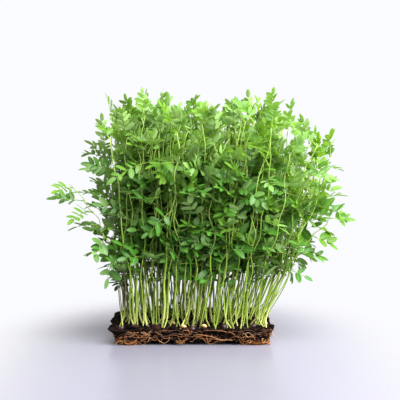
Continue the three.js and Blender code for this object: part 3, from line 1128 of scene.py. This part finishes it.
def on_soil(places, relief):
    """Points on the soil's top at level places."""
    points = np.column_stack([places, np.full(len(places), SOIL_TOP)])
    rim = np.abs(places / SLAB_HALF).max(1)
    points[:, 2] += soil_relief(points, relief) - RIM_DROP * smooth(rim, 0.93, 1.0)
    return points


def crumb_family(slab):
    """Crumbs of soil: small lumpy balls on the top, more of them along its rim."""
    rng = np.random.default_rng(41)
    count = slab.crumbs
    places = rng.uniform(-0.97, 0.97, (count, 2)) * SLAB_HALF
    near_rim = rng.random(count) < 0.3
    rim = wall_place(rng.random(count), np.full(count, SOIL_TOP))[:, :2]
    rim = rim * rng.uniform(0.93, 1.005, (count, 1))
    places = np.where(near_rim[:, None], rim, places)
    radius = slab.crumb_size * rng.lognormal(0, 0.45, count)
    centre = on_soil(places, slab.relief) + UP * radius[:, None] * 0.3
    on_wall = rng.random(count) < 0.35
    wall = wall_place(rng.random(count), rng.uniform(0.003, SOIL_TOP, count))
    centre = np.where(on_wall[:, None], wall, centre)
    rings, sides = 3, 6
    bumps = rng.uniform(0.72, 1.25, (count, rings * sides + 2))
    size = radius[:, None] * rng.uniform(0.65, 1.35, (count, 3))
    points = ball_points(centre, size, random_axes(count, 0.6, rng), rings, sides, bumps)
    return Family(points, ball_patch(rings, sides), 0, rng.random(count), np.zeros(count))


def lentil_family(centre, radius, tilt, rings, sides, rng, tint):
    """Lentils: balls half as thick as they are wide, leaning a little any way."""
    count = len(centre)
    size = radius[:, None] * np.array((1.0, 0.97, 0.62))
    bumps = 1 + rng.normal(0, 0.02, (count, rings * sides + 2))
    points = ball_points(centre, size, random_axes(count, tilt, rng), rings, sides, bumps)
    return Family(points, ball_patch(rings, sides), 0, tint, np.zeros(count))


# Finishes

class Wire:
    """A socket of a finish; arithmetic on it adds Math nodes."""

    def __init__(self, finish, socket):
        self.finish = finish
        self.socket = socket

    def __add__(self, other):
        return self.finish.math("ADD", self, other)

    def __radd__(self, other):
        return self.finish.math("ADD", other, self)

    def __sub__(self, other):
        return self.finish.math("SUBTRACT", self, other)

    def __rsub__(self, other):
        return self.finish.math("SUBTRACT", other, self)

    def __mul__(self, other):
        return self.finish.math("MULTIPLY", self, other)

    def __rmul__(self, other):
        return self.finish.math("MULTIPLY", other, self)

    def __gt__(self, other):
        return self.finish.math("GREATER_THAN", self, other)

    def __abs__(self):
        return self.finish.math("ABSOLUTE", self)

    def clamped(self, low, high):
        """0 at low, 1 at high, smooth between."""
        settings = {"interpolation_type": "SMOOTHSTEP"}
        return self.finish.node("ShaderNodeMapRange", settings, {0: self, 1: low, 2: high, 3: 0.0, 4: 1.0})


class Finish:
    """The nodes of a material or of the world."""

    def __init__(self, owner):
        self.owner = owner
        owner.use_nodes = True
        self.tree = owner.node_tree
        self.tree.nodes.clear()

    def node(self, kind, settings=None, sockets=None, output=0):
        """Any node: its settings first, then the values or links of its sockets."""
        made = self.tree.nodes.new(kind)
        for name, value in (settings or {}).items():
            setattr(made, name, value)
        for name, value in (sockets or {}).items():
            if isinstance(value, Wire):
                self.tree.links.new(value.socket, made.inputs[name])
            else:
                made.inputs[name].default_value = value
        return Wire(self, made.outputs[output]) if made.outputs else None

    def math(self, operation, *values):
        """A Math node on values."""
        return self.node("ShaderNodeMath", {"operation": operation}, dict(enumerate(values)))

    def attribute(self, name):
        """A number stored on the mesh."""
        return self.node("ShaderNodeAttribute", {"attribute_name": name}, output="Fac")

    def place(self):
        """Object coordinates."""
        return self.node("ShaderNodeTexCoord", output="Object")

    def axis(self, name):
        """One Object coordinate."""
        return self.node("ShaderNodeSeparateXYZ", {}, {0: self.place()}, output=name)

    def noise(self, scale, detail, stretch=(1.0, 1.0, 1.0)):
        """Fractal noise from 0 to 1 in Object coordinates, as many cells a metre as scale says."""
        sockets = {"Vector": self.place(), "Scale": stretch}
        where = self.node("ShaderNodeMapping", {"vector_type": "POINT"}, sockets)
        sockets = {"Vector": where, "Scale": scale, "Detail": detail, "Roughness": 0.6}
        return self.node("ShaderNodeTexNoise", {}, sockets, output="Fac")

    def blend(self, factor, first, second):
        """One colour mixed with another."""
        settings = {"data_type": "RGBA", "blend_type": "MIX"}
        return self.node("ShaderNodeMix", settings, {0: factor, 6: first, 7: second}, output=2)

    def bump(self, height, strength, distance):
        """A normal from a height."""
        sockets = {"Height": height, "Strength": strength, "Distance": distance}
        return self.node("ShaderNodeBump", {}, sockets)

    def split(self, map_name):
        """The two coordinates of a UV map."""
        where = self.node("ShaderNodeUVMap", {"uv_map": map_name})
        return [self.node("ShaderNodeSeparateXYZ", {}, {0: where}, output=axis) for axis in ("X", "Y")]

    def skin(self, base, roughness, normal=None, shine=0.5):
        """An opaque surface."""
        sockets = {"Base Color": base, "Roughness": roughness, "Specular IOR Level": shine}
        if normal is not None:
            sockets["Normal"] = normal
        return self.node("ShaderNodeBsdfPrincipled", {}, sockets)

    def mixed(self, factor, first, second):
        """One shader mixed with another."""
        return self.node("ShaderNodeMixShader", {}, {0: factor, 1: first, 2: second})

    def ended(self, shader, kind="ShaderNodeOutputMaterial"):
        """Ends the tree and gives the material or the world."""
        self.node(kind, {}, {"Surface": shader})
        return self.owner


def new_finish(name):
    """An empty material to be filled."""
    return Finish(bpy.data.materials.new(name))


def rgba(colour):
    """A colour setting with a whole alpha."""
    return (*colour, 1.0)


def soil_finish(colour):
    """Moist peat with flecks of bark: dark, rough, with a fine crumb."""
    soil = new_finish("moist_soil")
    coarse = soil.noise(260.0, 6.0)
    fine = soil.noise(1100.0, 4.0)
    warm = (coarse * 0.7 + fine * 0.5).clamped(0.55, 0.85)
    base = soil.blend(warm, rgba(colour.soil_dark), rgba(colour.soil_warm))
    bark = soil.noise(420.0, 2.0, (1.0, 1.0, 2.6)).clamped(0.66, 0.74)
    base = soil.blend(bark * 0.55, base, rgba(colour.root_dark))
    normal = soil.bump(fine + coarse, 0.9, 0.0009)
    return soil.ended(soil.skin(base, 0.78 + coarse * 0.2, normal, EARTH_SHINE))


def crumb_finish(colour):
    """Loose crumbs: the soil's colours, and each crumb lighter or darker."""
    crumb = new_finish("soil_crumbs")
    fine = crumb.noise(1300.0, 4.0)
    warm = (crumb.attribute("tint") * 0.8 + fine * 0.5).clamped(0.45, 1.15)
    base = crumb.blend(warm, rgba(colour.soil_dark), rgba(colour.soil_warm))
    return crumb.ended(crumb.skin(base, 0.75 + fine * 0.2, crumb.bump(fine, 0.8, 0.0006), EARTH_SHINE))


def felt_finish(colour):
    """Matted roots over dark soil: orange where they lie thick, at the two ends, streaked along the slab."""
    felt = new_finish("matted_roots")
    streak = felt.noise(150.0, 5.0, (1.0, 1.0, 9.0))
    fine = felt.noise(900.0, 3.0, (1.0, 1.0, 3.0))
    thick = felt.attribute("matting")
    cover = (streak * 0.5 + fine * 0.35 + thick * 0.55).clamped(0.68, 1.05)
    root = felt.blend(fine.clamped(0.35, 0.75), rgba(colour.root_dark), rgba(colour.root_orange))
    base = felt.blend(cover, rgba(colour.soil_dark), root)
    normal = felt.bump(streak + fine, 0.9, 0.0009)
    return felt.ended(felt.skin(base, 0.7 + fine * 0.2, normal, EARTH_SHINE))


def root_finish(colour):
    """Single roots: from dark to orange to pale, with soil clinging to them."""
    root = new_finish("root_fibre")
    tint = root.attribute("tint")
    dirt = root.noise(500.0, 4.0)
    base = root.blend(tint.clamped(0.1, 0.55), rgba(colour.root_dark), rgba(colour.root_orange))
    base = root.blend(tint.clamped(0.6, 1.0), base, rgba(colour.root_pale))
    base = root.blend(dirt.clamped(0.55, 0.75) * 0.7, base, rgba(colour.soil_dark))
    return root.ended(root.skin(base, 0.5 + dirt * 0.3, root.bump(dirt, 0.4, 0.0003)))


def seed_finish(colour):
    """Lentil seed coats: most wet and dark, a few dry and pale, mottled."""
    seed = new_finish("seed_coat")
    tint = seed.attribute("tint")
    mottle = seed.noise(900.0, 4.0)
    base = seed.blend(tint.clamped(0.84, 0.94), rgba(colour.seed_dark), rgba(colour.seed_pale))
    base = seed.blend(mottle.clamped(0.5, 0.7) * 0.45, base, rgba(colour.root_dark))
    return seed.ended(seed.skin(base, 0.32 + mottle * 0.3, seed.bump(mottle, 0.25, 0.0003)))


def stem_finish(colour):
    """Stems: pale yellow at the soil, greener with height, streaked along their length; a few red-brown."""
    stem = new_finish("stem")
    tint = stem.attribute("tint")
    red = stem.attribute("youth")
    height = stem.axis("Z")
    _, across = stem.split(PATTERN_MAP)
    streak = stem.noise(420.0, 3.0, (1.0, 1.0, 0.08))
    green = (height * 20.0 + tint * 0.75 + streak * 0.25).clamped(0.5, 1.25)
    base = stem.blend(green, rgba(colour.stem_foot), rgba(colour.stem_green))
    reddened = red * height.clamped(0.016, 0.032) * (1.0 - height.clamped(0.06, 0.11))
    base = stem.blend(reddened * 0.95, base, rgba(colour.stem_red))
    base = stem.blend(tint.clamped(0.45, 1.0) * 0.5, base, rgba(colour.stem_olive))
    base = stem.blend(height.clamped(0.06, 0.13) * 0.6, base, rgba(colour.stem_high))
    base = stem.blend(streak.clamped(0.45, 0.75) * 0.25, base, rgba(colour.leaf_old))
    ridge = abs(across * 10.0 - 5.0)
    normal = stem.bump(streak + ridge * 0.02, 0.25, 0.0003)
    return stem.ended(stem.skin(base, 0.38 + streak * 0.2, normal))


def leaf_finish(colour):
    """Leaflets: green that yellows with youth, a pale midrib and side veins, a greyer underside, and a random
    share of leaflets painted paler toward the underside colour, partly as a painted highlight.

    Light comes through them, so a diffuse surface is mixed with a translucent one.
    """
    leaf = new_finish("leaflet")
    tint = leaf.attribute("tint")
    youth = leaf.attribute("youth")
    along, across = leaf.split(PATTERN_MAP)
    under = across > 1.0
    out = abs((across - under) * 2.0 - 1.0)
    mottle = leaf.noise(700.0, 3.0)
    rib = 1.0 - out.clamped(0.02, 0.16)
    wave = leaf.math("PINGPONG", (along - out * 0.18) * 7.0, 0.5)
    vein = 1.0 - wave.clamped(0.02, 0.12)
    base = leaf.blend(youth.clamped(0.0, 1.0), rgba(colour.leaf_old), rgba(colour.leaf_young))
    dark = (tint * 0.6 + mottle * 0.4).clamped(0.25, 0.85)
    base = leaf.blend(dark * 0.65, base, rgba(colour.leaf_old))
    pale = rgba(colour.leaf_under)
    # Leaflets with a high tint go paler toward the underside colour. This is a random tone, and also a painted
    # highlight that stands in for the sky's sheen on leaf tops.
    base = leaf.blend(tint.clamped(0.7, 1.05) * 0.45, base, pale)
    base = leaf.blend(under * 0.72, base, pale)
    base = leaf.blend(rib * 0.35 + vein * 0.1, base, pale)
    normal = leaf.bump(rib * -0.6 + vein * -0.25 + mottle * 0.3, 0.35, 0.0002)
    front = leaf.skin(base, 0.36 + under * 0.18 + mottle * 0.12, normal)
    glow = leaf.blend(youth * 0.6 + 0.2, base, rgba(colour.leaf_glow))
    through = leaf.node("ShaderNodeBsdfTranslucent", {}, {"Color": glow, "Normal": normal})
    return leaf.ended(leaf.mixed(0.5, front, through))


def floor_finish(stage):
    """A pale satin table top that fades out round the slab, least quickly towards the front."""
    floor = new_finish("pale_floor")
    x, y = floor.axis("X"), floor.axis("Y")
    depth = floor.math("MAXIMUM", y, y * -0.2)
    fade = floor.math("SQRT", x * x * 1.7 + depth * depth).clamped(*FLOOR_FADE)
    softened = fade * fade * (3.0 - fade * 2.0)
    top = floor.skin(rgba(stage.floor), 0.28)
    return floor.ended(floor.mixed(softened, top, floor.node("ShaderNodeBsdfTransparent")))


# Operators

class PieceOperator:
    """Settings at hand for each operator."""

    bl_options = {"REGISTER", "UNDO"}

    @property
    def settings(self):
        return bpy.context.scene.microgreens


class MICROGREENS_OT_soil(PieceOperator, bpy.types.Operator):
    """Make the slab of soil and the crumbs on it"""

    bl_idname = "microgreens.soil"
    bl_label = "Soil"

    def execute(self, context):
        slab, colour = self.settings.slab, self.settings.colour
        add_piece("soil_slab", soil_mesh(slab), [soil_finish(colour)], "soil", "soil_block")
        crumbs = family_mesh("soil_crumbs", [crumb_family(slab)])
        add_piece("soil_crumbs", crumbs, [crumb_finish(colour)], "soil")
        return {"FINISHED"}


class MICROGREENS_OT_roots(PieceOperator, bpy.types.Operator):
    """Make the felt of roots and the single roots along the slab's sides"""

    bl_idname = "microgreens.roots"
    bl_label = "Roots"

    def execute(self, context):
        slab, colour = self.settings.slab, self.settings.colour
        add_piece("root_mat", felt_mesh(slab), [felt_finish(colour)], "root", "root_felt")
        roots = family_mesh("root_fibres", root_families(slab))
        add_piece("root_fibres", roots, [root_finish(colour)], "root")
        return {"FINISHED"}


class MICROGREENS_OT_seeds(PieceOperator, bpy.types.Operator):
    """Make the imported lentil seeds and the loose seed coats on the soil"""

    bl_idname = "microgreens.seeds"
    bl_label = "Seeds"

    def execute(self, context):
        slab, colour = self.settings.slab, self.settings.colour
        rng = np.random.default_rng(53)
        finish = seed_finish(colour)
        names = sorted(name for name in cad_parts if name.startswith("seed_"))
        for name in names:
            low, high = (np.array(corner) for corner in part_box(name))
            tint = 0.95 if name in PALE_SEEDS else 0.3
            radius = np.array([(high - low)[0] / 2])
            centre = ((low + high) / 2)[None]
            seed = lentil_family(centre, radius, 0.25, 9, 16, rng, np.array([tint]))
            add_piece(f"lentil_{name}", family_mesh(name, [seed]), [finish], "seed_coat", name)
        count = slab.seeds
        places = rng.uniform(-0.94, 0.94, (count, 2)) * SLAB_HALF
        centre = on_soil(places, slab.relief) + UP * 0.0006
        radius = slab.seed_radius * rng.uniform(0.8, 1.1, count)
        loose = lentil_family(centre, radius, 0.5, 4, 10, rng, rng.random(count))
        add_piece("loose_seed_coats", family_mesh("loose_seed_coats", [loose]), [finish], "seed_coat")
        return {"FINISHED"}


class MICROGREENS_OT_stems(PieceOperator, bpy.types.Operator):
    """Make the bare lower stems, one piece for each packed stem and one for each rank of the rest"""

    bl_idname = "microgreens.stems"
    bl_label = "Stems"

    def execute(self, context):
        stand = plan_stand(self.settings.stem)
        foot = np.full(len(stand.foot), SOIL_TOP - BURIED)
        stems = stem_family(stand, self.settings.stem, foot, stand.first, BARE_RINGS, BARE_SIDES, 0)
        finish = stem_finish(self.settings.colour)
        packed, ranks = seedling_groups(stand)
        for number, who in packed:
            mesh = family_mesh(f"stem_{number}", [stems.chosen(who)])
            add_piece(f"bare_stem_{number}", mesh, [finish], "stem", f"stem_{number}")
        for name, who in ranks:
            add_piece(f"{name}_stems", family_mesh(f"{name}_stems", [stems.chosen(who)]), [finish], "stem")
        return {"FINISHED"}


class MICROGREENS_OT_shoots(PieceOperator, bpy.types.Operator):
    """Make the leafy shoots, one piece for each packed shoot and one for each rank of the rest"""

    bl_idname = "microgreens.shoots"
    bl_label = "Leafy shoots"

    def execute(self, context):
        stand = plan_stand(self.settings.stem)
        low, high = stand.first - SEAM, stand.top()
        upper = stem_family(stand, self.settings.stem, low, high, LEAFY_RINGS, LEAFY_SIDES, STEM)
        grown = [(upper, np.arange(len(stand.foot)))]
        grown += grow_leaves(stand, self.settings.leaf)
        finishes = [leaf_finish(self.settings.colour), stem_finish(self.settings.colour)]
        packed, ranks = seedling_groups(stand)

        def shoot_mesh(name, who):
            return family_mesh(name, [family.chosen(np.isin(owner, who)) for family, owner in grown])

        for number, who in packed:
            mesh = shoot_mesh(f"shoot_{number}", who)
            add_piece(f"shoot_{number}", mesh, finishes, "leaf", f"leafy_shoot_{number}")
        for name, who in ranks:
            add_piece(f"{name}_shoots", shoot_mesh(f"{name}_shoots", who), finishes, "leaf")
        return {"FINISHED"}


class MICROGREENS_OT_stage(PieceOperator, bpy.types.Operator):
    """Set the floor, the light and the camera"""

    bl_idname = "microgreens.stage"
    bl_label = "Stage"

    def area_light(self, name, place, power, size, shiny):
        """A soft square light that faces the middle of the plants."""
        light = bpy.data.lights.new(name, "AREA")
        light.energy = power
        light.size = size
        lamp = bpy.data.objects.new(name, light)
        lamp.location = place
        aim = -lamp.location
        aim.z += AIM_HEIGHT
        lamp.rotation_euler = aim.to_track_quat("-Z", "Y").to_euler()
        lamp.visible_glossy = shiny
        bpy.context.scene.collection.objects.link(lamp)

    def sky(self, stage):
        """Even light from all round, and a white background behind the plants."""
        sky = Finish(bpy.data.worlds.new("studio"))
        background = rgba(stage.background)
        seen = sky.node("ShaderNodeBackground", {}, {"Color": background})
        lit = sky.node("ShaderNodeBackground", {}, {"Color": background, "Strength": stage.daylight})
        seen_directly = sky.node("ShaderNodeLightPath", output="Is Camera Ray")
        shader = sky.mixed(seen_directly, lit, seen)
        bpy.context.scene.world = sky.ended(shader, "ShaderNodeOutputWorld")

    def execute(self, context):
        stage = self.settings.stage
        corners = FLOOR_HALF * np.array([(-1, -1, 0), (1, -1, 0), (1, 1, 0), (-1, 1, 0)])
        mesh = bpy.data.meshes.new("floor")
        fill_mesh(mesh, corners, np.arange(4), np.array([4]), smooth_faces=False)
        mesh.materials.append(floor_finish(stage))
        floor = bpy.data.objects.new("floor", mesh)
        bpy.context.scene.collection.objects.link(floor)
        self.sky(stage)
        self.area_light("key", KEY_PLACE, stage.key, KEY_SIZE, True)
        self.area_light("side", SIDE_PLACE, stage.side, SIDE_SIZE, False)
        lens = bpy.data.cameras.new("camera")
        lens.lens = stage.focal_length
        camera = bpy.data.objects.new("camera", lens)
        camera.location = (stage.camera_side, -stage.camera_distance, stage.camera_height)
        camera.rotation_euler = (np.pi / 2 - stage.camera_pitch, 0, 0)
        bpy.context.scene.collection.objects.link(camera)
        bpy.context.scene.camera = camera
        bpy.context.scene.view_settings.view_transform = "Standard"
        return {"FINISHED"}


OPERATORS = (
    MICROGREENS_OT_stage,
    MICROGREENS_OT_soil,
    MICROGREENS_OT_roots,
    MICROGREENS_OT_seeds,
    MICROGREENS_OT_stems,
    MICROGREENS_OT_shoots,
)


class MICROGREENS_PT_panel(bpy.types.Panel):
    """The pieces, in the order they are made, and their settings"""

    bl_label = "Lentil Microgreens"
    bl_space_type = "VIEW_3D"
    bl_region_type = "UI"
    bl_category = "Microgreens"

    def draw(self, context):
        for operator in OPERATORS:
            self.layout.operator(operator.bl_idname)
        settings = context.scene.microgreens
        for group in (settings.slab, settings.stem, settings.leaf, settings.colour, settings.stage):
            box = self.layout.box()
            for name in group.__annotations__:
                box.prop(group, name)


CLASSES = (
    SlabSettings,
    StemSettings,
    LeafSettings,
    ColourSettings,
    StageSettings,
    MicrogreensSettings,
    *OPERATORS,
    MICROGREENS_PT_panel,
)


def register():
    """Make the classes and the scene's settings known."""
    for cls in CLASSES:
        bpy.utils.register_class(cls)
    bpy.types.Scene.microgreens = PointerProperty(type=MicrogreensSettings)


def unregister():
    """Take them away again."""
    del bpy.types.Scene.microgreens
    for cls in reversed(CLASSES):
        bpy.utils.unregister_class(cls)


def main():
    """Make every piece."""
    register()
    bpy.ops.microgreens.stage()
    bpy.ops.microgreens.soil()
    bpy.ops.microgreens.roots()
    bpy.ops.microgreens.seeds()
    bpy.ops.microgreens.stems()
    bpy.ops.microgreens.shoots()


if __name__ == "__main__":
    main()
